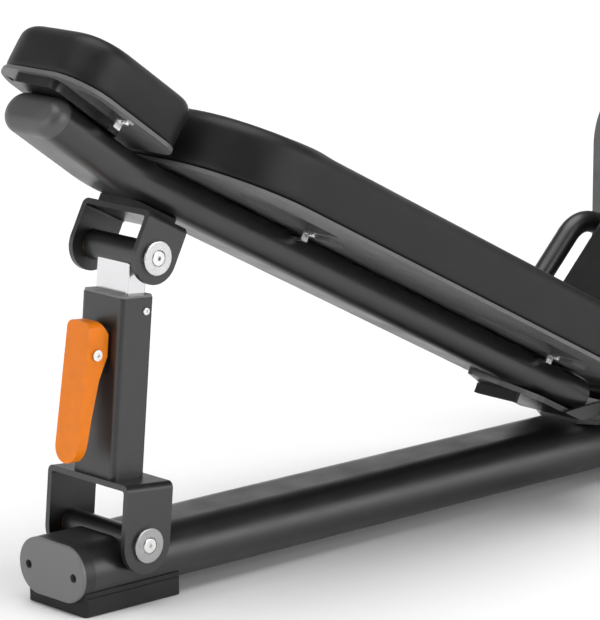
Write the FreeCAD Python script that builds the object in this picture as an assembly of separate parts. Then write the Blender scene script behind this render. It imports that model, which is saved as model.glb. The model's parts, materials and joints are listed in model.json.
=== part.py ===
"""Adjustable weight bench: one STEP per piece, millimetres, +Z up.

Origin: on the floor, below the strut's lower pivot, in the plane of symmetry.
+X runs from the head end to the leg end, and -Y is the near side.
"""
import math
import os
import FreeCAD
import Part

V = FreeCAD.Vector
AX = V(1, 0, 0)
AY = V(0, 1, 0)
AZ = V(0, 0, 1)

# ---- driving dimensions -------------------------------------------------
# Base tube, a flat-sided oval lying on its wide side
BASE_W, BASE_H, WALL = 100.0, 58.0, 3.0
BASE_Z = 41.0
BASE_X0, BASE_X1 = -69.0, 1000.0
CAP_T, CAP_SLEEVE = 4.0, 13.0
# Rear cross foot, same section across the bench
REAR_X, REAR_HALF = BASE_X1 + BASE_W / 2, 240.0
# Strut pivots and backrest hinge, in the XZ plane
PIVOT_LOW = V(0, 0, 65.7)
PIVOT_UP = V(23.9, 0, 350.6)
HINGE = V(716.0, 0, 101.0)
SHAFT_R = 8.0
RUN = 0.05
STRUT_PLAY = 1.2
# Main tube, a smaller flat-sided oval, pitched head-up, with a head bend
MAIN_W, MAIN_H = 84.0, 42.0
PITCH = 27.0
HEAD_PITCH = 35.4
MAIN_D = 67.5
BEND_S, BEND_R = -53.0, 220.0
MAIN_END_S = 681.0
HEAD_LEN = 104.0
# Clevises
LOW_HALF, LOW_R, LOW_TOP = 62.0, 29.5, 61.5
UP_HALF, UP_R, UP_TOP = 51.0, 27.0, 40.0
PLATE = 6.0
# Strut
TUBE_X, TUBE_Y, TUBE_R = 43.0, 65.0, 8.0
TUBE_OFF = -2.7
TUBE_TOP = 243.0
BAR_X, BAR_Y = 24.0, 50.0
BAR_LOW = 66.0
# Lever
LEVER_HALF, LEVER_WALL = 17.0, 3.0
LEVER_OFF, LEVER_FOOT = 2.5, 76.5
PIN_E, PIN_W = 16.7, 186.2
PLUNGER_W = 203.0
# Pads
BACK_SEAM, PAD_T, LIP_T = 94.4, 61.0, 4.0
BACK_S0, BACK_S1, BACK_HALF = -20.0, 668.0, 146.0
HEAD_SEAM, HEAD_T = 56.0, 51.0
HEAD_S0, HEAD_S1, HEAD_HALF = -139.0, 15.0, 74.0
BOARD_INSET, BOARD_UP = 12.0, 10.0
SOFT_GAP = 0.3
# Seat
SEAT_PITCH, SEAT_HALF, SEAT_L, SEAT_T = -45.0, 115.0, 165.0, 46.0
SEAT_AT = V(742.0, 0, 162.0)
SEAT_BOARD_T = 10.0
# Handles
GRIP_R, GRIP_Y = 12.5, 145.0
# Rear upright and panel
PANEL_X, PANEL_HALF, PANEL_Z0, PANEL_Z1, PANEL_T = 912.0, 187.0, 150.0, 428.0, 10.0
PANEL_R = 100.0

out = {}


# ---- shape helpers ------------------------------------------------------
def box(x0, x1, y0, y1, z0, z1):
    return Part.makeBox(x1 - x0, y1 - y0, z1 - z0, V(x0, y0, z0))


def rod(radius, start, end):
    step = end - start
    return Part.makeCylinder(radius, step.Length, start, step)


def tube(r_out, r_in, start, end):
    return rod(r_out, start, end).cut(rod(r_in, start, end))


def prism(points, direction):
    """A closed outline pushed along a vector; an item (mid, end) is an arc."""
    edges = []
    here = points[0]
    for item in points[1:]:
        if isinstance(item, tuple):
            edges.append(Part.Arc(here, item[0], item[1]).toShape())
            here = item[1]
        else:
            edges.append(Part.makeLine(here, item))
            here = item
    if here.distanceToPoint(points[0]) > 1e-6:
        edges.append(Part.makeLine(here, points[0]))
    return Part.Face(Part.Wire(edges)).extrude(direction)


def shifted(points, step):
    """Move an outline, arcs included."""
    return [(q[0] + step, q[1] + step) if isinstance(q, tuple) else q + step for q in points]


def oval_wire(centre, across, width, thick, up):
    """Flat-sided oval: width along `across`, thickness along `up`."""
    r = thick / 2
    f = width / 2 - r
    a, b = across * f, up * r
    tip = across * (width / 2)
    edges = [
        Part.makeLine(centre - a + b, centre + a + b),
        Part.Arc(centre + a + b, centre + tip, centre + a - b).toShape(),
        Part.makeLine(centre + a - b, centre - a - b),
        Part.Arc(centre - a - b, centre - tip, centre - a + b).toShape(),
    ]
    return Part.Wire(edges)


def oval_bar(start, end, across, width, thick):
    step = end - start
    up = step.cross(across).normalize()
    return Part.Face(oval_wire(start, across, width, thick, up)).extrude(step)


def rounded_box(x0, x1, y0, y1, z0, z1, radius):
    """A box with its four Z edges rounded."""
    body = box(x0, x1, y0, y1, z0, z1)
    return body.makeFillet(radius, edges_along(body, AZ))


def edges_along(body, axis):
    found = []
    for edge in body.Edges:
        if isinstance(edge.Curve, (Part.Line, Part.LineSegment)):
            if abs(abs(edge.tangentAt(edge.FirstParameter).dot(axis)) - 1) < 1e-6:
                found.append(edge)
    return found


def mirror_y(shape):
    return shape.mirror(V(0, 0, 0), AY)


def both_sides(shape):
    return Part.makeCompound([shape, mirror_y(shape)])


def fuse(shapes):
    body = shapes[0].multiFuse(shapes[1:])
    return body.removeSplitter()


def placed(shape, at, pitch):
    """Turn local axes about Y (positive drops +X), then move to `at`."""
    copy = shape.copy()
    turn = FreeCAD.Placement(at, FreeCAD.Rotation(AY, pitch))
    copy.Placement = turn.multiply(copy.Placement)
    return copy


def button_screw(face, axis, shank_r, shank_l, head_r, head_h):
    """Button-head screw with a hex socket; the head sits on `face`."""
    shank = rod(shank_r, face, face - axis * shank_l)
    head = rod(head_r, face, face + axis * head_h)
    rim = [e for e in head.Edges if e.Closed and abs((e.CenterOfMass - face).dot(axis) - head_h) < 0.01]
    head = head.makeFillet(head_h * 0.55, rim)
    side = axis.cross(AX if abs(axis.x) < 0.9 else AZ).normalize()
    rise = axis.cross(side)
    across = shank_r * 0.62
    corners = [
        face + axis * (head_h + 1) + side * (across * math.cos(k)) + rise * (across * math.sin(k))
        for k in [math.radians(60 * i) for i in range(6)]
    ]
    socket = prism(corners + [corners[0]], axis * (-head_h * 0.8 - 1))
    return fuse([shank, head]).cut(socket)


def rounded_plan(s0, s1, half, r0, r1, z0, z1):
    """A flat slab: corner radius r0 at the head end and r1 at the leg end."""
    slab = box(s0, s1, -half, half, z0, z1)
    head = [e for e in edges_along(slab, AZ) if abs(e.CenterOfMass.x - s0) < 0.01]
    slab = slab.makeFillet(r0, head)
    tail = [e for e in edges_along(slab, AZ) if abs(e.CenterOfMass.x - s1) < 0.01]
    return slab.makeFillet(r1, tail)


def soften(slab, z_top, radius):
    """Round the top rim of a pad."""
    rim = [e for e in slab.Edges if abs(e.BoundBox.ZMin - z_top) < 0.01 and abs(e.BoundBox.ZMax - z_top) < 0.01]
    return slab.makeFillet(radius, rim)


# ---- base ---------------------------------------------------------------
def base():
    a = V(BASE_X0 + CAP_SLEEVE, 0, BASE_Z)
    b = V(BASE_X1, 0, BASE_Z)
    beam = oval_bar(a, b, AY, BASE_W, BASE_H)
    hollow = oval_bar(a, b, AY, BASE_W - 2 * WALL, BASE_H - 2 * WALL)
    barrel_half = LOW_HALF - PLATE - 2.5
    barrel = rod(14, V(0, -barrel_half, PIVOT_LOW.z), V(0, barrel_half, PIVOT_LOW.z))
    out["base_tube"] = beam.cut(hollow).cut(barrel)
    bore = rod(11, V(0, -100, PIVOT_LOW.z), V(0, 100, PIVOT_LOW.z))
    out["lower_pivot_barrel"] = barrel.cut(bore)
    out["lower_bushings"] = bushings(barrel_half, PIVOT_LOW, 11, SHAFT_R + RUN, 13.4)

    cap = oval_bar(V(BASE_X0 - CAP_T, 0, BASE_Z), a, AY, BASE_W, BASE_H)
    rim = [e for e in cap.Edges if abs(e.BoundBox.XMax - BASE_X0 + CAP_T) < 0.01]
    cap = cap.makeFillet(1.6, rim)
    plug = oval_bar(a, a + V(18, 0, 0), AY, BASE_W - 2 * WALL - 1, BASE_H - 2 * WALL - 1)
    cap = fuse([cap, plug])
    screws = []
    for y in (-34.8, 34.8):
        face = V(BASE_X0 - CAP_T + 6, y, BASE_Z - 1)
        cap = cap.cut(rod(4.6, face, face - AX * 8))
        cap = cap.cut(rod(2.5, face, face + AX * 14))
        screws.append(button_screw(face, -AX, 2.5, 14, 4.2, 2.2))
    out["base_end_cap"] = cap
    out["base_cap_screws"] = Part.makeCompound(screws)

    foot = rounded_box(-66.2, 58.1, -45.4, 45.4, 0, 23.9, 5)
    saddle = oval_bar(V(-100, 0, BASE_Z), V(100, 0, BASE_Z), AY, BASE_W, BASE_H)
    groove = box(-70, 62, -45.4, -44.2, 18.2, 19.4)
    out["front_foot"] = foot.cut(saddle).cut(groove).cut(mirror_y(groove))

    ra = V(REAR_X, -REAR_HALF, BASE_Z)
    rb = V(REAR_X, REAR_HALF, BASE_Z)
    cross = oval_bar(ra, rb, AX, BASE_W, BASE_H)
    inner = oval_bar(ra, rb, AX, BASE_W - 2 * WALL, BASE_H - 2 * WALL)
    out["base_tube"] = fuse([out["base_tube"], landing_stub(cross)])
    out["rear_cross_tube"] = cross.cut(inner)
    lid = oval_bar(rb, rb + AY * CAP_T, AX, BASE_W, BASE_H)
    out["rear_tube_caps"] = both_sides(lid)
    pad = rounded_box(REAR_X - 45.4, REAR_X + 45.4, REAR_HALF - 110, REAR_HALF - 4, 0, 23.9, 5)
    out["rear_feet"] = both_sides(pad.cut(cross))


def base_oval():
    """The solid outline of the base tube, for cutting what lands on it."""
    return oval_bar(V(BASE_X0, 0, BASE_Z), V(REAR_X, 0, BASE_Z), AY, BASE_W, BASE_H)


def landing_stub(cross):
    """The short hollow end that closes the base tube onto the cross tube."""
    r = BASE_H / 2
    a = V(BASE_X1, 0, BASE_Z)
    b = V(BASE_X1 + r, 0, BASE_Z)
    stub = oval_bar(a, b, AY, BASE_W, BASE_H)
    core = oval_bar(a, b, AY, BASE_W - 2 * WALL, BASE_H - 2 * WALL)
    return stub.cut(core).cut(cross)


def bushings(half, at, r_out, r_in, flange_r):
    """A flanged bush pressed into each end of a barrel along Y."""
    y = V(0, half, 0)
    body = rod(r_out, at + y - AY * 20, at + y)
    flange = rod(flange_r, at + y, at + y + AY * 2)
    bush = fuse([body, flange]).cut(rod(r_in, at + y - AY * 30, at + y + AY * 10))
    return both_sides(bush)


def shaft_set(name, at, half, washer_r):
    """A pivot shaft through two plates, its washers and its end screws."""
    y = AY * half
    shaft = rod(SHAFT_R, at - y, at + y)
    hole = rod(4.2, at + y - AY * 20, at + y)
    shaft = shaft.cut(hole).cut(mirror_y(hole))
    out[name + "_shaft"] = shaft
    washer = rod(washer_r, at + y, at + y + AY * 4)
    edge = [e for e in washer.Edges if e.Closed and abs(e.CenterOfMass.y - half - 4) < 0.01]
    washer = washer.makeFillet(1.2, edge)
    seat = rod(8.6, at + y + AY * 2.2, at + y + AY * 5)
    washer = washer.cut(seat).cut(rod(4.2, at + y, at + y + AY * 5))
    screw = button_screw(at + y + AY * 2.2, AY, 4.2, 20, 8.0, 2.8)
    return both_sides(washer), both_sides(screw)


# ---- strut --------------------------------------------------------------
LEAN = math.degrees(math.atan2(PIVOT_UP.x - PIVOT_LOW.x, PIVOT_UP.z - PIVOT_LOW.z))
REACH = (PIVOT_UP - PIVOT_LOW).Length


def on_strut(shape):
    return placed(shape, PIVOT_LOW, LEAN)


def lower_clevis():
    """Inverted U plate: legs with round ends that straddle the base tube."""
    side = [
        V(-LOW_R, -LOW_HALF, 0),
        V(-LOW_R, -LOW_HALF, LOW_TOP),
        V(LOW_R, -LOW_HALF, LOW_TOP),
        V(LOW_R, -LOW_HALF, 0),
        (V(0, -LOW_HALF, -LOW_R), V(-LOW_R, -LOW_HALF, 0)),
    ]
    block = prism(side, AY * (2 * LOW_HALF))
    corners = [e for e in edges_along(block, AX) if abs(e.CenterOfMass.z - LOW_TOP) < 0.01]
    block = block.makeFillet(7, corners)
    h = LOW_HALF - PLATE
    gap = box(-60, 60, -h, h, -60, LOW_TOP - PLATE)
    top = [e for e in edges_along(gap, AX) if abs(e.CenterOfMass.z - LOW_TOP + PLATE) < 0.01]
    gap = gap.makeFillet(3, top)
    hole = rod(SHAFT_R, V(0, -100, 0), V(0, 100, 0))
    return block.cut(gap).cut(hole)


def strut():
    out["lower_clevis"] = on_strut(lower_clevis())
    washers, screws = shaft_set("lower", V(0, 0, 0), LOW_HALF, 18.0)
    out["lower_shaft"] = on_strut(out["lower_shaft"])
    out["lower_washers"] = on_strut(washers)
    out["lower_screws"] = on_strut(screws)

    x0, x1 = TUBE_OFF - TUBE_X / 2, TUBE_OFF + TUBE_X / 2
    y1 = TUBE_Y / 2
    skin = rounded_box(x0, x1, -y1, y1, LOW_TOP, TUBE_TOP, TUBE_R)
    core = rounded_box(x0 + WALL, x1 - WALL, -y1 + WALL, y1 - WALL, LOW_TOP - 1, TUBE_TOP + 1, TUBE_R - WALL)
    tube_body = skin.cut(core)
    port = rod(7, V(x0 - 5, 0, PLUNGER_W), V(x0 + 6, 0, PLUNGER_W))
    tube_body = tube_body.cut(port)

    guide = rounded_box(x0 + WALL, x1 - WALL, -y1 + WALL, y1 - WALL, TUBE_TOP - 20, TUBE_TOP, TUBE_R - WALL)
    rim = rounded_box(x0 + 0.8, x1 - 0.8, -y1 + 0.8, y1 - 0.8, TUBE_TOP, TUBE_TOP + 2.4, TUBE_R - 0.8)
    way = rounded_box(-BAR_X / 2 - RUN, BAR_X / 2 + RUN, -BAR_Y / 2 - RUN, BAR_Y / 2 + RUN, 0, 300, 2.4)
    guide = fuse([guide, rim]).cut(way)
    screws = []
    for y in (-1, 1):
        face = V(TUBE_OFF + 9.5, y * y1, 229.6)
        reach = rod(2.5, face - AY * (y * 6.5), face + AY * y)
        tube_body = tube_body.cut(reach)
        guide = guide.cut(reach)
        screws.append(button_screw(face, AY * y, 2.5, 6.5, 4.0, 1.8))
    out["strut_tube"] = on_strut(tube_body)
    out["strut_guide"] = on_strut(guide)
    out["guide_screws"] = on_strut(Part.makeCompound(screws))

    bar_top = math.sqrt(15.0 ** 2 - (BAR_X / 2) ** 2)
    bar = rounded_box(-BAR_X / 2, BAR_X / 2, -BAR_Y / 2, BAR_Y / 2, BAR_LOW, REACH - bar_top + 4, 2.5)
    void = rounded_box(
        -BAR_X / 2 + 2.5, BAR_X / 2 - 2.5, -BAR_Y / 2 + 2.5, BAR_Y / 2 - 2.5, BAR_LOW - 1, REACH, 1.0
    )
    half = UP_HALF - PLATE - 2.5
    barrel = rod(15, V(0, -half, REACH), V(0, half, REACH))
    out["inner_bar"] = on_strut(bar.cut(void).cut(barrel))
    plug = rounded_box(
        -BAR_X / 2 + 2.5, BAR_X / 2 - 2.5, -BAR_Y / 2 + 2.5, BAR_Y / 2 - 2.5, BAR_LOW, BAR_LOW + 12, 1.0
    )
    shoe = rounded_box(x0 + WALL + 0.1, x1 - WALL - 0.1, -y1 + WALL + 0.1, y1 - WALL - 0.1,
                       BAR_LOW - 3.5, BAR_LOW, TUBE_R - WALL)
    out["bar_shoe"] = on_strut(fuse([plug, shoe]))
    sleeve = rod(12.5, V(0, -100, REACH), V(0, 100, REACH))
    out["upper_barrel"] = on_strut(barrel.cut(sleeve))
    out["upper_bushings"] = on_strut(bushings(half, V(0, 0, REACH), 12.5, SHAFT_R + STRUT_PLAY, 14.2))


def lever_outline():
    """The lever's side outline, distance out from the strut's face and height."""
    f = TUBE_OFF - TUBE_X / 2
    pts = [
        (LEVER_OFF, 206.0), (LEVER_OFF, 184.0), (7.0, 172.5), (11.6, 160.0), (18.6, 122.0),
        (21.6, 100.0), (26.0, LEVER_FOOT), (36.0, LEVER_FOOT), (27.2, 218.5), (12.0, 218.5),
    ]
    return [V(f - e, 0, w) for e, w in pts]


def lever():
    f = TUBE_OFF - TUBE_X / 2
    pts = lever_outline()
    body = prism(shifted(pts, AY * -LEVER_HALF), AY * (2 * LEVER_HALF))
    front = rounded_front(f)
    body = body.common(front)
    pocket_pts = [
        V(f + 5, 0, 240), V(f + 5, 0, 118),
        V(f - 18.6, 0, 118), V(f - 29.6, 0, 124), V(f - 24.2, 0, 213.5), V(f - 4, 0, 213.5),
    ]
    w = LEVER_HALF - LEVER_WALL
    pocket = prism(shifted(pocket_pts, AY * -w), AY * (2 * w))
    keep_top = box(f - 60, f + 60, -60, 60, 213.5, 260)
    body = body.cut(pocket.cut(keep_top))
    yoke = box(f - 15.8, f - 13.3, -w - 1, w + 1, PLUNGER_W - 6, PLUNGER_W + 6)
    slot = box(f - 20, f - 10, -4.6, 4.6, PLUNGER_W - 7, PLUNGER_W + 7)
    body = fuse([body, yoke.cut(slot)])
    pin_at = V(f - PIN_E, 0, PIN_W)
    body = body.cut(rod(4 + RUN, pin_at - AY * 60, pin_at + AY * 60))
    out["squeeze_lever"] = on_strut(body)

    ears = []
    for side in (-1, 1):
        y0 = side * 9.5
        y1 = side * 12.5
        ear_pts = [
            V(f - 2.5, y0, PIN_W - 20), V(f - 2.5, y0, PIN_W + 9), V(f - PIN_E, y0, PIN_W + 8),
            (V(f - PIN_E - 8, y0, PIN_W), V(f - PIN_E, y0, PIN_W - 8)),
            V(f - 7, y0, PIN_W - 20), V(f - 2.5, y0, PIN_W - 20),
        ]
        ears.append(prism(ear_pts, AY * (y1 - y0)))
    plate = box(f - 2.5, f, -12.5, 12.5, PIN_W - 20, PIN_W + 9)
    bracket = fuse(ears + [plate]).cut(rod(4, pin_at - AY * 60, pin_at + AY * 60))
    out["lever_bracket"] = on_strut(bracket)
    pin = rod(4, pin_at - AY * (LEVER_HALF + 0.6), pin_at + AY * (LEVER_HALF + 0.6))
    head = rod(5.6, pin_at + AY * (LEVER_HALF + 0.6), pin_at + AY * (LEVER_HALF + 2.6))
    head = head.cut(rod(2.2, pin_at + AY * (LEVER_HALF + 1.4), pin_at + AY * (LEVER_HALF + 3)))
    out["lever_pin"] = on_strut(fuse([pin, head, mirror_y(head)]))

    c = V(f, 0, PLUNGER_W)
    housing = rod(7, c + AX * 2.9, c - AX * 8)
    nose = -BAR_X / 2 - 0.2
    housing = housing.cut(rod(4 + RUN, c + AX * 10, c - AX * 20))
    housing = housing.cut(rod(6, c + AX * 0.5, c - AX * 6))
    out["plunger_housing"] = on_strut(housing)
    stem = rod(4, V(nose - 2.5, 0, PLUNGER_W), c - AX * 19)
    knob = rod(6, c - AX * 17, c - AX * 21)
    collar = rod(5.4, c - AX * 0.7, c - AX * 1.9)
    out["plunger"] = on_strut(fuse([stem, knob, collar]))
    shoe = box(nose - 2.5, nose, -9, 9, PLUNGER_W - 7, PLUNGER_W + 7)
    out["brake_shoe"] = on_strut(shoe)
    out["plunger_spring"] = on_strut(tube(5.8, 4.3, c - AX * 2.0, c - AX * 5.9))


def rounded_front(f):
    """A slab whose outline, seen along X, has a round bottom and soft top corners."""
    r = LEVER_HALF
    pts = [
        V(f - 60, -r, LEVER_FOOT + r), V(f - 60, -r, 210.5),
        (V(f - 60, -r + 2.3, 216.2), V(f - 60, -r + 8, 218.5)),
        V(f - 60, r - 8, 218.5),
        (V(f - 60, r - 2.3, 216.2), V(f - 60, r, 210.5)),
        V(f - 60, r, LEVER_FOOT + r),
        (V(f - 60, 0, LEVER_FOOT), V(f - 60, -r, LEVER_FOOT + r)),
    ]
    return prism(pts, AX * 120)


# ---- backrest -----------------------------------------------------------
def on_main(shape):
    return placed(shape, PIVOT_UP, PITCH)


def bend_point():
    return V(BEND_S, 0, MAIN_D)


def head_dir(length, rise=0.0):
    """A local point `length` up the head bend and `rise` square to it."""
    k = math.radians(HEAD_PITCH - PITCH)
    b = bend_point()
    return V(b.x - length * math.cos(k) + rise * math.sin(k), 0, b.z + length * math.sin(k) + rise * math.cos(k))


def on_head(shape):
    """Head pieces are drawn from the bend, x along the tube and z square to it."""
    turned = placed(shape, bend_point(), HEAD_PITCH - PITCH)
    return on_main(turned)


def main_path(end):
    k = math.radians(HEAD_PITCH - PITCH)
    tangent = BEND_R * math.tan(k / 2)
    b = bend_point()
    head_end = head_dir(HEAD_LEN)
    arc_a = head_dir(tangent)
    arc_b = b + AX * tangent
    centre = arc_b + AZ * BEND_R
    mid_dir = (b - centre).normalize()
    mid = centre + mid_dir * BEND_R
    edges = [
        Part.makeLine(head_end, arc_a),
        Part.Arc(arc_a, mid, arc_b).toShape(),
        Part.makeLine(arc_b, V(end, 0, MAIN_D)),
    ]
    return Part.Wire(edges), head_end


def swept_oval(width, thick, end):
    path, start = main_path(end)
    k = math.radians(HEAD_PITCH - PITCH)
    up = V(math.sin(k), 0, math.cos(k))
    profile = oval_wire(start, AY, width, thick, up)
    return path.makePipeShell([profile], True, False)


def backrest():
    skin = swept_oval(MAIN_W, MAIN_H, MAIN_END_S)
    core = swept_oval(MAIN_W - 2 * WALL, MAIN_H - 2 * WALL, MAIN_END_S - WALL)
    out["main_tube"] = on_main(skin.cut(core))
    out["main_tube_cap"] = on_head(pillow_cap(MAIN_W, MAIN_H, 17.0, HEAD_LEN))

    side = [
        V(-UP_R, -UP_HALF, 0),
        V(-UP_R, -UP_HALF, UP_TOP),
        V(UP_R, -UP_HALF, UP_TOP),
        V(UP_R, -UP_HALF, 0),
        (V(0, -UP_HALF, -UP_R), V(-UP_R, -UP_HALF, 0)),
    ]
    block = prism(side, AY * (2 * UP_HALF))
    corners = [e for e in edges_along(block, AX) if abs(e.CenterOfMass.z - UP_TOP) < 0.01]
    block = block.makeFillet(7, corners)
    h = UP_HALF - PLATE
    gap = box(-60, 60, -h, h, -60, UP_TOP - PLATE)
    top = [e for e in edges_along(gap, AX) if abs(e.CenterOfMass.z - UP_TOP + PLATE) < 0.01]
    gap = gap.makeFillet(3, top)
    clevis = block.cut(gap).cut(rod(SHAFT_R, V(0, -100, 0), V(0, 100, 0)))
    out["upper_clevis"] = on_main(clevis)
    low_side = MAIN_D - MAIN_H / 2
    saddle = rounded_box(-31, 31, -30, 30, UP_TOP, low_side, 8)
    out["upper_saddle"] = on_main(saddle)
    washers, screws = shaft_set("upper", V(0, 0, 0), UP_HALF, 17.5)
    out["upper_shaft"] = on_main(out["upper_shaft"])
    out["upper_washers"] = on_main(washers)
    out["upper_screws"] = on_main(screws)
    hinge()
    back_pad()
    head_pad()


def pillow_cap(width, thick, rise, length):
    """A domed end cap: an oval plug whose outer rim is generously rounded."""
    body = oval_bar(V(-length - rise, 0, 0), V(-length, 0, 0), AY, width, thick)
    rim = [e for e in body.Edges if abs(e.BoundBox.XMax + length + rise) < 0.01]
    body = body.makeFillet(rise - 3.0, rim)
    plug = oval_bar(V(-length, 0, 0), V(-length + 16, 0, 0), AY, width - 2 * WALL - 1, thick - 2 * WALL - 1)
    return fuse([body, plug])


def to_main(x, z):
    """A point of the XZ plane in the main tube's own axes."""
    k = math.radians(PITCH)
    v = V(x, 0, z) - PIVOT_UP
    return V(v.x * math.cos(k) - v.z * math.sin(k), 0, v.x * math.sin(k) + v.z * math.cos(k))


def local_hinge():
    return to_main(HINGE.x, HINGE.z)


def hinge():
    """Lug plates on the tube's lower end, their barrel, and the fixed bracket."""
    h = local_hinge()
    low = MAIN_D - MAIN_H / 2
    under = low - PLATE
    barrel_r, lug_r, half = 16.0, 20.0, 47.0
    w = MAIN_W / 2
    plate_end = MAIN_END_S - 4
    top_edge = to_main(HINGE.x - 24, HINGE.z - 5)
    lug_pts = [
        V(MAIN_END_S - 34, 0, under), V(plate_end, 0, under), to_main(HINGE.x, HINGE.z - lug_r),
        (to_main(HINGE.x + lug_r, HINGE.z), to_main(HINGE.x, HINGE.z + lug_r)),
        to_main(HINGE.x - 14.14, HINGE.z + 14.14), top_edge, to_main(HINGE.x - 86, HINGE.z - 7),
    ]
    lug = prism(shifted(lug_pts, AY * w), AY * 5)
    lug = lug.cut(rod(barrel_r, V(h.x, -100, h.z), V(h.x, 100, h.z)))
    nose = [(-150, 3), (-120, 17), (-92, 33), (-77, 40), (-68, w)]
    half_plan = [V(MAIN_END_S + x, y, under) for x, y in nose] + [V(plate_end, w, under)]
    mirrored = [V(q.x, -q.y, under) for q in reversed(half_plan)]
    floor_plate = prism(half_plan + mirrored, AZ * PLATE)
    out["hinge_lugs"] = on_main(both_sides(lug))
    out["hinge_floor_plate"] = on_main(floor_plate)
    barrel = rod(barrel_r, V(h.x, -half, h.z), V(h.x, half, h.z))
    bore = rod(11, V(h.x, -100, h.z), V(h.x, 100, h.z))
    out["hinge_barrel"] = on_main(barrel.cut(bore))
    out["hinge_bushings"] = bushings(half, HINGE, 11, SHAFT_R + RUN, 13.4)
    tab = rounded_box(MAIN_END_S - 102, MAIN_END_S - 95, -31, 31, under - 11, under, 2)
    out["bump_stop"] = on_main(tab)

    # the fixed bracket on the base tube carries the hinge shaft
    top = BASE_Z + BASE_H / 2
    inner = half + 2.6
    outer = inner + PLATE
    ear_pts = [
        V(HINGE.x - 38, inner, top), V(HINGE.x - 24, inner, HINGE.z),
        (V(HINGE.x, inner, HINGE.z + 24), V(HINGE.x + 24, inner, HINGE.z)),
        V(HINGE.x + 38, inner, top),
    ]
    ear = prism(ear_pts, AY * PLATE)
    web = prism([
        V(HINGE.x - 58, -28, top), V(HINGE.x - 38, -outer, top), V(HINGE.x + 38, -outer, top),
        V(HINGE.x + 38, outer, top), V(HINGE.x - 38, outer, top), V(HINGE.x - 58, 28, top),
    ], AZ * 5)
    bracket = fuse([ear, mirror_y(ear), web])
    bracket = bracket.cut(rod(SHAFT_R, HINGE - AY * 100, HINGE + AY * 100))
    out["hinge_base_bracket"] = bracket
    washers, screws = shaft_set("hinge", HINGE, outer, 17.5)
    out["hinge_washers"] = washers
    out["hinge_screws"] = screws


def pad_and_board(name, s0, s1, half, r0, r1, seam, thick, place):
    """Upholstered cushion over a moulded board, drawn along the local axes."""
    lip = rounded_plan(s0, s1, half, r0, r1, seam - LIP_T, seam)
    k = BOARD_INSET
    core = rounded_plan(s0 + k, s1 - k, half - k, r0 - k, r1 - k, seam, seam + BOARD_UP)
    board = fuse([lip, core])
    g = SOFT_GAP
    soft = rounded_plan(s0, s1, half, r0, r1, seam + g, seam + thick)
    soft = soften(soft, seam + thick, 16)
    socket = rounded_plan(s0 + k - g, s1 - k + g, half - k + g, r0 - k + g, r1 - k + g, seam, seam + BOARD_UP + g)
    out[name + "_pad"] = place(soft.cut(socket))
    return board


def scoop(s, y0, y1, seam, length):
    """A ramped pocket in a board's underside, deepest beside its clip."""
    under = seam - LIP_T
    pts = [V(s - length, y0, under), V(s, y0, under + 9.5), V(s, y0, under - 1), V(s - length, y0, under - 1)]
    return prism(pts, AY * (y1 - y0))


def boss(s, y, seam, length, width):
    """A moulded pad on a board's underside, just past its clip."""
    under = seam - LIP_T
    return rounded_box(s + 1, s + 1 + length, y - width / 2, y + width / 2, under - 4, under, 3)


def clip(s, y_in, z_axis, z_board, reach):
    """A bent steel clip from the tube's flank up to the board, with its screw."""
    y0 = MAIN_W / 2
    s0, s1 = s - 9.0, s
    z_tube = z_board - 10
    low = box(s0, s1, y_in, y0 + 11, z_tube, z_tube + 2)
    web = box(s0, s1, y0 + 9, y0 + 11, z_tube, z_board)
    top = box(s0, s1, y0 + 9, y0 + 26, z_board - 2, z_board)
    steel = fuse([low, web, top])
    at = V((s0 + s1) / 2, y0 + 19, z_board - 2)
    steel = steel.cut(rod(2.5, at - AZ * 5, at + AZ * 5))
    steel = steel.cut(oval_bar(V(s0 - 5, 0, z_axis), V(s1 + 5, 0, z_axis), AY, MAIN_W, MAIN_H))
    return steel, button_screw(at, -AZ, 2.5, reach, 4.2, 2.4)


def back_pad():
    seam = BACK_SEAM
    board = pad_and_board("back", BACK_S0, BACK_S1, BACK_HALF, 104, 40, seam, PAD_T, on_main)
    clips = []
    screws = []
    for s, length in ((183.0, 124.0), (592.0, 143.0)):
        board = fuse([board, both_sides(boss(s, 68, seam, 24, 26))])
        board = board.cut(both_sides(scoop(s - 9, 56, 104, seam, length)))
        for side in (-1, 1):
            steel, screw = clip(s, 30, MAIN_D, seam - LIP_T, 9)
            if side < 0:
                steel, screw = mirror_y(steel), mirror_y(screw)
            board = board.cut(screw)
            clips.append(on_main(steel))
            screws.append(on_main(screw))
    out["back_board"] = on_main(board)
    out["_clips"] = clips
    out["_screws"] = screws


def head_pad():
    half_t = MAIN_H / 2
    seam = HEAD_SEAM - half_t
    board = pad_and_board("head", HEAD_S0, HEAD_S1, HEAD_HALF, 46, 26, seam, HEAD_T, on_head)
    plate = rounded_plan(HEAD_S0 + 6, HEAD_S1 - 46, 34, 12, 12, half_t, seam - LIP_T)
    out["head_plate"] = on_head(plate)
    for side in (-1, 1):
        s = -52.0
        pocket = scoop(s - 9, 44, 62, seam, 56)
        steel, screw = clip(s, 34, 0, seam - LIP_T, 5.5)
        if side < 0:
            pocket, steel, screw = mirror_y(pocket), mirror_y(steel), mirror_y(screw)
        board = board.cut(pocket)
        board = board.cut(screw)
        out["_clips"].append(on_head(steel))
        out["_screws"].append(on_head(screw))
    out["head_board"] = on_head(board)
    out["pad_clips"] = Part.makeCompound(out.pop("_clips"))
    out["clip_screws"] = Part.makeCompound(out.pop("_screws"))


# ---- seat, handles and rear upright --------------------------------------
def on_seat(shape):
    return placed(shape, SEAT_AT, SEAT_PITCH)


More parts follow.
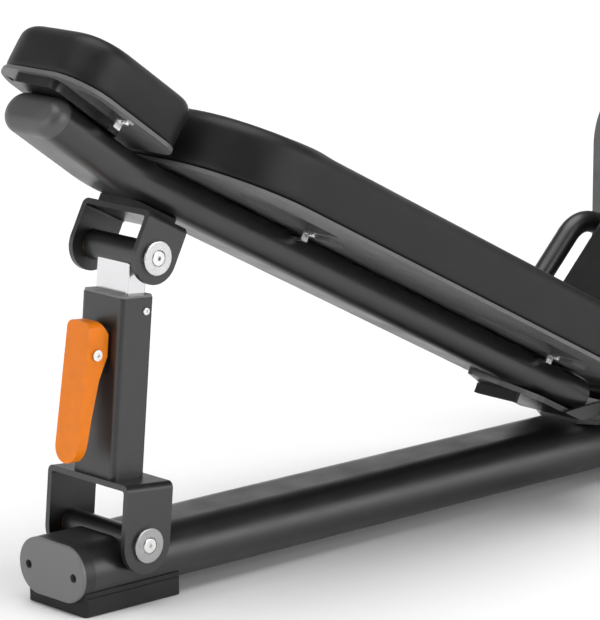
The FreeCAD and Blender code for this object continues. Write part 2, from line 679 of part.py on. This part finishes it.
def seat():
    z1 = 0.0
    soft = rounded_plan(0, SEAT_L, SEAT_HALF, 22, 22, -SEAT_T + SOFT_GAP, z1)
    out["seat_pad"] = on_seat(soften(soft, z1, 14))
    board = rounded_plan(2, SEAT_L - 2, SEAT_HALF - 2, 20, 20, -SEAT_T - SEAT_BOARD_T, -SEAT_T)
    under = -SEAT_T - SEAT_BOARD_T
    arms = []
    screws = []
    for y in (-1, 1):
        arm = box(18, SEAT_L - 22, 30, 36, under - 40, under)
        flange = box(18, SEAT_L - 22, 36, 62, under - 4, under)
        body = fuse([arm, flange])
        for x in (40, SEAT_L - 34):
            at = V(x, 49, under - 4)
            body = body.cut(rod(4, at - AZ * 10, at + AZ * 10))
            screw = button_screw(at, -AZ, 4, 12, 7, 4)
            board = board.cut(screw if y > 0 else mirror_y(screw))
            screws.append(screw if y > 0 else mirror_y(screw))
        arms.append(body if y > 0 else mirror_y(body))
    out["seat_board"] = on_seat(board)
    out["seat_screws"] = on_seat(Part.makeCompound(screws))
    legs = []
    for y in (-1, 1):
        leg = prism([
            V(806, 30, BASE_Z), V(806, 30, 136), V(872, 30, 202), V(PANEL_X - 2, 30, 202), V(PANEL_X - 2, 30, BASE_Z),
        ], AY * 6).cut(base_oval())
        legs.append(leg if y > 0 else mirror_y(leg))
    support = [on_seat(arm) for arm in arms]
    out["seat_support"] = Part.makeCompound([fuse([support[i], legs[i]]) for i in range(2)])


def smooth_path(points, radius):
    """Straight runs joined by arcs of one radius."""
    edges = []
    here = points[0]
    for i in range(1, len(points) - 1):
        a = (points[i - 1] - points[i]).normalize()
        b = (points[i + 1] - points[i]).normalize()
        half = a.getAngle(b) / 2
        cut = radius / math.tan(half)
        start = points[i] + a * cut
        stop = points[i] + b * cut
        middle = points[i] + (a + b).normalize() * (radius / math.sin(half) - radius)
        edges.append(Part.makeLine(here, start))
        edges.append(Part.Arc(start, middle, stop).toShape())
        here = stop
    edges.append(Part.makeLine(here, points[-1]))
    return Part.Wire(edges)


def pipe(points, radius, r_out):
    path = smooth_path(points, radius)
    ring = Part.Wire([Part.makeCircle(r_out, points[0], points[1] - points[0])])
    return path.makePipeShell([ring], True, False)


def handles():
    half = BASE_W / 2
    points = [
        V(800, half - 6, BASE_Z), V(800, GRIP_Y, BASE_Z), V(742.5, GRIP_Y, 156),
        V(841, GRIP_Y, 254.5), V(PANEL_X, GRIP_Y, 234),
    ]
    panel_side = box(PANEL_X, PANEL_X + 40, 0, 300, 0, 500)
    skin = pipe(points, 40, GRIP_R)
    core = pipe(points, 40, GRIP_R - 2)
    grip = skin.cut(core).cut(base_oval()).cut(panel_side)
    out["handle_near"] = mirror_y(grip)
    out["handle_far"] = grip


def rear():
    outline = [
        V(PANEL_X, -PANEL_HALF + 30, PANEL_Z0), V(PANEL_X, PANEL_HALF - 30, PANEL_Z0),
        (V(PANEL_X, PANEL_HALF - 8.8, PANEL_Z0 + 8.8), V(PANEL_X, PANEL_HALF, PANEL_Z0 + 30)),
        V(PANEL_X, PANEL_HALF, PANEL_Z1 - PANEL_R),
        (V(PANEL_X, PANEL_HALF - PANEL_R * (1 - math.sqrt(0.5)), PANEL_Z1 - PANEL_R * (1 - math.sqrt(0.5))),
         V(PANEL_X, PANEL_HALF - PANEL_R, PANEL_Z1)),
        V(PANEL_X, -PANEL_HALF + PANEL_R, PANEL_Z1),
        (V(PANEL_X, -PANEL_HALF + PANEL_R * (1 - math.sqrt(0.5)), PANEL_Z1 - PANEL_R * (1 - math.sqrt(0.5))),
         V(PANEL_X, -PANEL_HALF, PANEL_Z1 - PANEL_R)),
        V(PANEL_X, -PANEL_HALF, PANEL_Z0 + 30),
        (V(PANEL_X, -PANEL_HALF + 8.8, PANEL_Z0 + 8.8), V(PANEL_X, -PANEL_HALF + 30, PANEL_Z0)),
    ]
    panel = prism(outline, AX * PANEL_T)
    post_x = PANEL_X + PANEL_T + MAIN_H / 2
    foot = V(post_x, 0, BASE_Z)
    head = V(post_x, 0, PANEL_Z1 - 30)
    post = oval_bar(foot, head, AY, MAIN_W, MAIN_H)
    post = post.cut(oval_bar(foot, head, AY, MAIN_W - 2 * WALL, MAIN_H - 2 * WALL)).cut(base_oval())
    screws = []
    for y in (-22, 22):
        for z in (PANEL_Z0 + 40, PANEL_Z1 - 70):
            screw = button_screw(V(PANEL_X, y, z), -AX, 4, PANEL_T + 8, 8, 3.5)
            hole = rod(4, V(PANEL_X - 1, y, z), V(PANEL_X + PANEL_T + 8, y, z))
            panel = panel.cut(hole)
            post = post.cut(hole)
            screws.append(screw)
    out["rear_upright"] = post
    out["rear_panel"] = panel
    out["panel_screws"] = Part.makeCompound(screws)
    lid = oval_bar(head, head + AZ * 12, AY, MAIN_W, MAIN_H)
    rim = [e for e in lid.Edges if abs(e.BoundBox.ZMin - head.z - 12) < 0.01]
    out["upright_cap"] = lid.makeFillet(8, rim)


base()
strut()
lever()
backrest()
seat()
handles()
rear()
os.makedirs("parts", exist_ok=True)
for node, shape in out.items():
    shape.exportStep("parts/" + node + ".step")
    print(node, shape.isValid(), len(shape.Solids), round(shape.Volume))
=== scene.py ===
"""Looks for the adjustable weight bench: camera, light, materials and upholstery."""
import json
import math

import bpy
from mathutils import Matrix, Vector


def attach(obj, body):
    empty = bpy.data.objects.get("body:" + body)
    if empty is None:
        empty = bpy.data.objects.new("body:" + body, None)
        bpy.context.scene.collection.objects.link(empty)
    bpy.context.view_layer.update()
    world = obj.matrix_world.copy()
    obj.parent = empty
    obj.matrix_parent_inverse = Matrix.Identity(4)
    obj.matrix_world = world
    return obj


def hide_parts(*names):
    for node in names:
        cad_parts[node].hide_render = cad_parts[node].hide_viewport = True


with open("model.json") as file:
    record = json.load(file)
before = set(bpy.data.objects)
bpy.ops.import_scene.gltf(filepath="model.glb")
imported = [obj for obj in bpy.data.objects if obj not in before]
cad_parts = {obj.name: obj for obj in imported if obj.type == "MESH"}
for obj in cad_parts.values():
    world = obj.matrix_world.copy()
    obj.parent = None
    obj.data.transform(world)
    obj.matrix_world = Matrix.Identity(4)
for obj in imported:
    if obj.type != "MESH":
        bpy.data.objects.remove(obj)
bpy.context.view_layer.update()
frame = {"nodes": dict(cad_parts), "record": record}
scene = bpy.context.scene
record = frame["record"]

# Local frames of part.py, in metres: origin and pitch about +Y
MAIN = (Vector((0.0239, 0, 0.3506)), 27.0)
BEND = Vector((-0.053, 0, 0.0675))
HEAD_PITCH = 35.4
SEAT = (Vector((0.742, 0, 0.162)), -45.0)
PIVOT_LOW = Vector((0, 0, 0.0657))
HINGE = Vector((0.716, 0, 0.101))

FLOOR_HALF, FLOOR_Z = 30, -0.0006
CLOTH_FRAMES = 20
PIN_HEIGHT = 0.0111


def local_frame(origin, pitch):
    return Matrix.Translation(origin) @ Matrix.Rotation(math.radians(pitch), 4, "Y")


M_MAIN = local_frame(*MAIN)
M_HEAD = local_frame(M_MAIN @ BEND, HEAD_PITCH)
M_SEAT = local_frame(*SEAT)


# ---- camera, floor and light ---------------------------------------------
def make_camera():
    data = bpy.data.cameras.new("camera")
    data.sensor_width = 36
    data.lens = 211.35
    data.clip_end = 60
    cam = bpy.data.objects.new("camera", data)
    scene.collection.objects.link(cam)
    cam.location = (-2.2452, -2.7088, 1.0662)
    aim = Vector((0.2632, 0, 0.25447)) - cam.location
    cam.rotation_euler = aim.to_track_quat("-Z", "Y").to_euler()
    scene.camera = cam


def make_floor():
    mesh = bpy.data.meshes.new("floor")
    corners = [(-1, -1), (1, -1), (1, 1), (-1, 1)]
    mesh.from_pydata([(x * FLOOR_HALF, y * FLOOR_HALF, FLOOR_Z) for x, y in corners], [], [(0, 1, 2, 3)])
    floor = bpy.data.objects.new("floor", mesh)
    scene.collection.objects.link(floor)
    mat = bpy.data.materials.new("floor_pale")
    mat.use_nodes = True
    bsdf = mat.node_tree.nodes["Principled BSDF"]
    bsdf.inputs["Base Color"].default_value = (0.93, 0.93, 0.93, 1)
    bsdf.inputs["Roughness"].default_value = 0.9
    bsdf.inputs["Specular IOR Level"].default_value = 0.1
    mesh.materials.append(mat)


def make_world():
    """A studio of soft boxes: left, right, overhead, a pale horizon, and a dark side by the camera."""
    world = bpy.data.worlds.new("studio")
    scene.world = world
    world.use_nodes = True
    nt = world.node_tree
    nt.nodes.clear()
    coord = nt.nodes.new("ShaderNodeTexCoord")

    def lobe(direction, outer, inner, strength):
        dot = nt.nodes.new("ShaderNodeVectorMath")
        dot.operation = "DOT_PRODUCT"
        dot.inputs[1].default_value = Vector(direction).normalized()
        nt.links.new(coord.outputs["Generated"], dot.inputs[0])
        ramp = nt.nodes.new("ShaderNodeMapRange")
        ramp.interpolation_type = "SMOOTHSTEP"
        ramp.inputs["From Min"].default_value = math.cos(math.radians(outer))
        ramp.inputs["From Max"].default_value = math.cos(math.radians(inner))
        ramp.inputs["To Max"].default_value = strength
        nt.links.new(dot.outputs["Value"], ramp.inputs["Value"])
        return ramp.outputs["Result"]

    def join(a, b, operation="ADD"):
        node = nt.nodes.new("ShaderNodeMath")
        node.operation = operation
        nt.links.new(a, node.inputs[0])
        nt.links.new(b, node.inputs[1])
        return node.outputs[0]

    split = nt.nodes.new("ShaderNodeSeparateXYZ")
    nt.links.new(coord.outputs["Generated"], split.inputs[0])
    band = nt.nodes.new("ShaderNodeMapRange")
    band.interpolation_type = "SMOOTHSTEP"
    band.inputs["From Min"].default_value = 0.52
    band.inputs["From Max"].default_value = 0.20
    band.inputs["To Max"].default_value = 0.75
    nt.links.new(split.outputs["Z"], band.inputs["Value"])
    shade = nt.nodes.new("ShaderNodeMath")
    shade.operation = "SUBTRACT"
    shade.inputs[0].default_value = 1.0
    nt.links.new(lobe((-0.68, -0.73, 0.25), 36, 18, 0.97), shade.inputs[1])
    base = nt.nodes.new("ShaderNodeMath")
    base.inputs[1].default_value = 0.12
    nt.links.new(band.outputs["Result"], base.inputs[0])
    total = join(base.outputs[0], shade.outputs[0], "MULTIPLY")
    total = join(total, lobe((-1.0, 0.25, 0.22), 34, 20, 1.2))
    total = join(total, lobe((0.30, -1.0, 0.22), 34, 20, 2.1))
    total = join(total, lobe((0, 0, 1), 38, 24, 3.0))
    back = nt.nodes.new("ShaderNodeBackground")
    back.inputs["Color"].default_value = (1, 1, 1, 1)
    nt.links.new(total, back.inputs["Strength"])
    output = nt.nodes.new("ShaderNodeOutputWorld")
    nt.links.new(back.outputs[0], output.inputs[0])


# ---- materials -----------------------------------------------------------
class Maker:
    """One procedural material; object coordinates are metres in the row frame."""

    def __init__(self, name, color, rough, metal=0.0, level=0.5):
        self.mat = bpy.data.materials.new(name)
        self.mat.use_nodes = True
        self.nt = self.mat.node_tree
        self.bsdf = self.nt.nodes["Principled BSDF"]
        self.color = color
        self.bsdf.inputs["Base Color"].default_value = (*color, 1)
        self.bsdf.inputs["Roughness"].default_value = rough
        self.bsdf.inputs["Metallic"].default_value = metal
        self.bsdf.inputs["Specular IOR Level"].default_value = level
        self.coord = self.nt.nodes.new("ShaderNodeTexCoord")
        self.normal = None

    def place(self, centre=(0, 0, 0)):
        node = self.nt.nodes.new("ShaderNodeMapping")
        node.inputs["Location"].default_value = [-c for c in centre]
        self.nt.links.new(self.coord.outputs["Object"], node.inputs["Vector"])
        return node.outputs["Vector"]

    def noise(self, scale, detail=2.0, rough=0.5):
        node = self.nt.nodes.new("ShaderNodeTexNoise")
        node.inputs["Scale"].default_value = scale
        node.inputs["Detail"].default_value = detail
        node.inputs["Roughness"].default_value = rough
        self.nt.links.new(self.place(), node.inputs["Vector"])
        return node.outputs["Fac"]

    def cells(self, scale):
        """Fine grain of a coated cover."""
        node = self.nt.nodes.new("ShaderNodeTexVoronoi")
        node.feature = "DISTANCE_TO_EDGE"
        node.inputs["Scale"].default_value = scale
        self.nt.links.new(self.place(), node.inputs["Vector"])
        return node.outputs["Distance"]

    def rings(self, centre, scale):
        node = self.nt.nodes.new("ShaderNodeTexWave")
        node.wave_type = "RINGS"
        node.rings_direction = "Y"
        node.inputs["Scale"].default_value = scale
        node.inputs["Distortion"].default_value = 0.4
        node.inputs["Detail"].default_value = 2.0
        self.nt.links.new(self.place(centre=centre), node.inputs["Vector"])
        return node.outputs["Fac"]

    def spread(self, source, low, high):
        node = self.nt.nodes.new("ShaderNodeMapRange")
        node.inputs["From Min"].default_value = 0.3
        node.inputs["From Max"].default_value = 0.7
        node.inputs["To Min"].default_value = low
        node.inputs["To Max"].default_value = high
        self.nt.links.new(source, node.inputs["Value"])
        return node.outputs["Result"]

    def tint(self, source, dark, light):
        """Colour varies between dark and light times the base colour."""
        node = self.nt.nodes.new("ShaderNodeMix")
        node.data_type = "RGBA"
        node.inputs["A"].default_value = (*[c * dark for c in self.color], 1)
        node.inputs["B"].default_value = (*[min(1, c * light) for c in self.color], 1)
        self.nt.links.new(self.spread(source, 0, 1), node.inputs["Factor"])
        self.nt.links.new(node.outputs["Result"], self.bsdf.inputs["Base Color"])
        return self

    def gloss(self, source, low, high):
        self.nt.links.new(self.spread(source, low, high), self.bsdf.inputs["Roughness"])
        return self

    def bump(self, source, strength, distance):
        node = self.nt.nodes.new("ShaderNodeBump")
        node.inputs["Strength"].default_value = strength
        node.inputs["Distance"].default_value = distance
        self.nt.links.new(source, node.inputs["Height"])
        if self.normal is not None:
            self.nt.links.new(self.normal, node.inputs["Normal"])
        self.normal = node.outputs["Normal"]
        self.nt.links.new(self.normal, self.bsdf.inputs["Normal"])
        return self


def powder_coat(name, color, rough):
    m = Maker(name, color, rough, level=0.75)
    m.tint(m.noise(60, 3), 0.86, 1.14)
    m.gloss(m.noise(25, 3), rough - 0.05, rough + 0.06)
    m.bump(m.noise(900, 2), 0.22, 0.0004)
    return m.mat


def upholstery(name, color, rough):
    m = Maker(name, color, rough, level=0.28)
    m.tint(m.noise(14, 4), 0.88, 1.12)
    m.gloss(m.noise(40, 3), rough - 0.05, rough + 0.05)
    m.bump(m.noise(18, 3), 0.10, 0.004)
    m.bump(m.cells(750), 0.35, 0.00035)
    m.bump(m.noise(2600, 2), 0.15, 0.0002)
    m.bsdf.inputs["Sheen Weight"].default_value = 0.02
    m.bsdf.inputs["Sheen Roughness"].default_value = 0.45
    return m.mat


def moulded(name, color, rough, grain=1300):
    m = Maker(name, color, rough)
    m.tint(m.noise(30, 3), 0.9, 1.1)
    m.gloss(m.noise(55, 2), rough - 0.04, rough + 0.05)
    m.bump(m.noise(grain, 2, rough=0.6), 0.2, 0.0003)
    return m.mat


def painted_light_cap(name, color, rough, edge):
    """End plate with painted light: the face ahead of x = edge is painted pale as a painted highlight,
    and the collar behind it is painted much darker as painted shade.
    """
    m = Maker(name, color, rough)
    split = m.nt.nodes.new("ShaderNodeSeparateXYZ")
    m.nt.links.new(m.coord.outputs["Object"], split.inputs[0])
    side = m.nt.nodes.new("ShaderNodeMapRange")
    side.inputs["From Min"].default_value = edge
    side.inputs["From Max"].default_value = edge + 0.0004
    side.inputs["To Min"].default_value = 0.7
    side.inputs["To Max"].default_value = 0.3
    m.nt.links.new(split.outputs["X"], side.inputs["Value"])
    m.tint(side.outputs["Result"], 0.09, 1.0)
    m.bump(m.noise(1300, 2), 0.2, 0.0003)
    return m.mat


def rubber(name, color):
    m = Maker(name, color, 0.72, level=0.35)
    m.tint(m.noise(45, 4), 0.8, 1.2)
    m.bump(m.noise(700, 3), 0.4, 0.0005)
    m.bump(m.noise(35, 2), 0.12, 0.002)
    return m.mat


def chrome(name, color, rough):
    m = Maker(name, color, rough, metal=1.0)
    m.tint(m.noise(25, 3), 0.97, 1.02)
    m.gloss(m.noise(60, 3), rough - 0.03, rough + 0.05)
    m.bump(m.noise(9, 2), 0.03, 0.001)
    return m.mat


def turned(name, color, rough, centre):
    m = Maker(name, color, rough, metal=1.0)
    m.tint(m.noise(120, 3), 0.95, 1.04)
    m.gloss(m.noise(200, 2), rough - 0.05, rough + 0.06)
    m.bump(m.rings(centre, 420), 0.12, 0.00012)
    return m.mat


def zinc(name, color, rough):
    m = Maker(name, color, rough, metal=1.0)
    m.tint(m.noise(90, 4), 0.9, 1.06)
    m.gloss(m.noise(300, 3), rough - 0.07, rough + 0.08)
    m.bump(m.noise(1500, 2), 0.12, 0.0002)
    return m.mat


def lever_plastic(name, color):
    m = Maker(name, color, 0.36, level=0.28)
    m.tint(m.noise(70, 3), 0.95, 1.05)
    m.gloss(m.noise(90, 3), 0.32, 0.42)
    m.bump(m.noise(1400, 2), 0.10, 0.0003)
    return m.mat


PAINT = (0.0105, 0.0105, 0.0108)


def make_materials():
    finish = {
        "frame_paint": powder_coat("frame_paint", PAINT, 0.33),
        "panel_paint": powder_coat("panel_paint", (0.085, 0.085, 0.087), 0.48),
        "pad_cover": upholstery("pad_cover", (0.0105, 0.0105, 0.011), 0.42),
        "board": moulded("board", (0.115, 0.115, 0.117), 0.46, 1100),
        "cap_plastic": moulded("cap_plastic", (0.072, 0.072, 0.074), 0.36),
        "guide_plastic": moulded("guide_plastic", (0.19, 0.19, 0.195), 0.40),
        "rubber": rubber("rubber", (0.017, 0.017, 0.018)),
        "lever_orange": lever_plastic("lever_orange", (0.80, 0.200, 0.003)),
        "bright_steel": zinc("bright_steel", (0.80, 0.80, 0.79), 0.30),
        "chrome_bar": chrome("chrome_bar", (0.74, 0.74, 0.75), 0.16),
        "bronze": zinc("bronze", (0.62, 0.42, 0.22), 0.32),
    }
    own = {
        # the washers are one turned steel in lighter and darker copies: their tones are painted light
        # and shade, the lower washers darkest as painted shade
        "upper_washers": turned("washer_upper", (0.64, 0.64, 0.64), 0.27, MAIN[0]),
        "lower_washers": turned("washer_lower_painted_shade", (0.40, 0.40, 0.40), 0.30, PIVOT_LOW),
        # the base end cap's pale face and dark collar are painted light and painted shade
        "base_end_cap": painted_light_cap("base_cap_painted_light", (0.145, 0.146, 0.148), 0.40, -0.0688),
        "hinge_washers": turned("washer_hinge", (0.80, 0.80, 0.80), 0.28, HINGE),
    }
    for row in record["subparts"]:
        node = frame["nodes"][row["node"]]
        mat = own.get(row["node"], finish[row["material_slot"]])
        node.data.materials.clear()
        node.data.materials.append(mat)
    return finish


# ---- upholstery ----------------------------------------------------------
def plan(s0, s1, half, r0, r1, inset, side_n, arc_n):
    """Outline of a rounded slab; every inset has the same number of points."""
    a, b, h = s0 + inset, s1 - inset, half - inset
    ra, rb = max(r0 - inset, 0.002), max(r1 - inset, 0.002)
    ra, rb = min(ra, h), min(rb, h)
    corners = [
        (b - rb, -h + rb, rb, -90), (b - rb, h - rb, rb, 0),
        (a + ra, h - ra, ra, 90), (a + ra, -h + ra, ra, 180),
    ]
    pts = []
    for k, (cx, cy, r, start) in enumerate(corners):
        for i in range(arc_n + 1):
            t = math.radians(start + 90 * i / arc_n)
            pts.append((cx + r * math.cos(t), cy + r * math.sin(t)))
        nx, ny, nr, ns = corners[(k + 1) % 4]
        t = math.radians(ns)
        end = (nx + nr * math.cos(t), ny + nr * math.sin(t))
        here = pts[-1]
        n = side_n[k % 2]
        for i in range(1, n):
            pts.append((here[0] + (end[0] - here[0]) * i / n, here[1] + (end[1] - here[1]) * i / n))
    return pts


def pad_mesh(name, s0, s1, half, r0, r1, bottom, top, edge, crown, side_n, arc_n, matrix):
    """A crowned cushion with a recess for its board, as rings from the recess round to the crown."""
    recess = 0.0119
    rings = [(recess, bottom + 0.0105), (recess, bottom + 0.0006), (0.0045, bottom + 0.0004),
             (0.0022, bottom + 0.0010), (0.0008, bottom + 0.0030), (0.0, bottom + 0.0065)]
    if matrix is M_SEAT:
        rings = [(0.030, bottom + 0.0004)] + rings[2:]
    wall_top = top - edge
    for i in range(1, 4):
        rings.append((0.0, bottom + 0.0065 + (wall_top - bottom - 0.0065) * i / 3))
    for i in range(1, 6):
        t = math.radians(90 * i / 5)
        rings.append((edge * (1 - math.cos(t)), wall_top + edge * math.sin(t)))
    reach = half - edge
    steps = 9
    for i in range(1, steps):
        f = i / steps
        rings.append((edge + reach * f * 0.985, top))

    def domed(x, y, z):
        """Raise the top smoothly towards the middle of the pad."""
        u = (2 * x - s0 - s1) / (s1 - s0)
        w = y / half
        rise = max(0.0, (z - wall_top) / edge)
        return x, y, z + crown * rise * (1 - u ** 4) * (1 - w * w)

    loops = []
    for inset, z in rings:
        outline = plan(s0, s1, half, r0, r1, inset, side_n, arc_n)
        loops.append([domed(x, y, z) for x, y in outline])
    n = len(loops[0])
    verts = [p for loop in loops for p in loop]
    faces = []
    for k in range(len(loops) - 1):
        for i in range(n):
            j = (i + 1) % n
            faces.append((k * n + i, k * n + j, (k + 1) * n + j, (k + 1) * n + i))
    faces.append(tuple(reversed(range(n))))
    last = (len(loops) - 1) * n
    middle = arc_n + side_n[0] // 2
    rungs = [(last + (middle - k) % n, last + (middle + k) % n) for k in range(1, n // 2)]
    faces.append((rungs[0][0], last + middle, rungs[0][1]))
    for (left, right), (next_left, next_right) in zip(rungs, rungs[1:]):
        faces.append((next_left, left, right, next_right))
    faces.append((rungs[-1][1], last + (middle + n // 2) % n, rungs[-1][0]))
    mesh = bpy.data.meshes.new(name)
    mesh.from_pydata([matrix @ Vector(p) for p in verts], [], faces)
    mesh.update()
    obj = bpy.data.objects.new(name, mesh)
    scene.collection.objects.link(obj)
    return obj


def inflate(obj, matrix, bottom, cap):
    """Blow the cover out with a short cloth simulation, held along its bottom seam."""
    inverse = matrix.inverted()
    rest = [v.co.copy() for v in obj.data.vertices]
    normals = [v.normal.copy() for v in obj.data.vertices]
    held = obj.vertex_groups.new(name="held")
    held.add([i for i, p in enumerate(rest) if (inverse @ p).z < bottom + PIN_HEIGHT], 1.0, "REPLACE")
    mod = obj.modifiers.new("cover", "CLOTH")
    cloth = mod.settings
    cloth.quality = 6
    cloth.mass = 0.25
    cloth.tension_stiffness = 25
    cloth.compression_stiffness = 25
    cloth.shear_stiffness = 12
    cloth.bending_stiffness = 3
    cloth.use_pressure = True
    cloth.uniform_pressure_force = 4.0
    cloth.vertex_group_mass = "held"
    cloth.effector_weights.gravity = 0
    mod.point_cache.frame_start = 1
    mod.point_cache.frame_end = CLOTH_FRAMES
    for f in range(1, CLOTH_FRAMES + 1):
        scene.frame_set(f)
    dg = bpy.context.evaluated_depsgraph_get()
    moved = [v.co.copy() for v in obj.evaluated_get(dg).data.vertices]
    obj.modifiers.remove(mod)
    scene.frame_set(1)
    for v, a, b, normal in zip(obj.data.vertices, rest, moved, normals):
        v.co = a + normal * min(max((b - a).dot(normal), 0.0), cap)


def finish_pad(obj, body, node, mat, matrix, bottom, cap):
    inflate(obj, matrix, bottom, cap)
    obj.data.materials.append(mat)
    for p in obj.data.polygons:
        p.use_smooth = True
    sub = obj.modifiers.new("smooth", "SUBSURF")
    sub.levels = 2
    sub.render_levels = 2
    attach(obj, body)
    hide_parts(node)


def make_pads(finish):
    mat = finish["pad_cover"]
    back = pad_mesh("back_cushion", -0.0188, 0.6668, 0.1448, 0.103, 0.039, 0.0944, 0.1523, 0.015, 0.003,
                    (16, 56), 12, M_MAIN)
    finish_pad(back, "backrest", "back_pad", mat, M_MAIN, 0.0944, 0.002)
    head = pad_mesh("head_cushion", -0.1376, 0.0138, 0.0732, 0.045, 0.025, 0.035, 0.0842, 0.014, 0.003,
                    (10, 14), 10, M_HEAD)
    finish_pad(head, "backrest", "head_pad", mat, M_HEAD, 0.035, 0.002)
    seat = pad_mesh("seat_cushion", 0.0012, 0.1638, 0.1138, 0.021, 0.021, -0.0457, -0.001, 0.013, 0.004,
                    (22, 16), 8, M_SEAT)
    finish_pad(seat, "base", "seat_pad", mat, M_SEAT, -0.0457, 0.002)


make_camera()
make_floor()
make_world()
finish = make_materials()
make_pads(finish)
scene.view_settings.view_transform = "Standard"
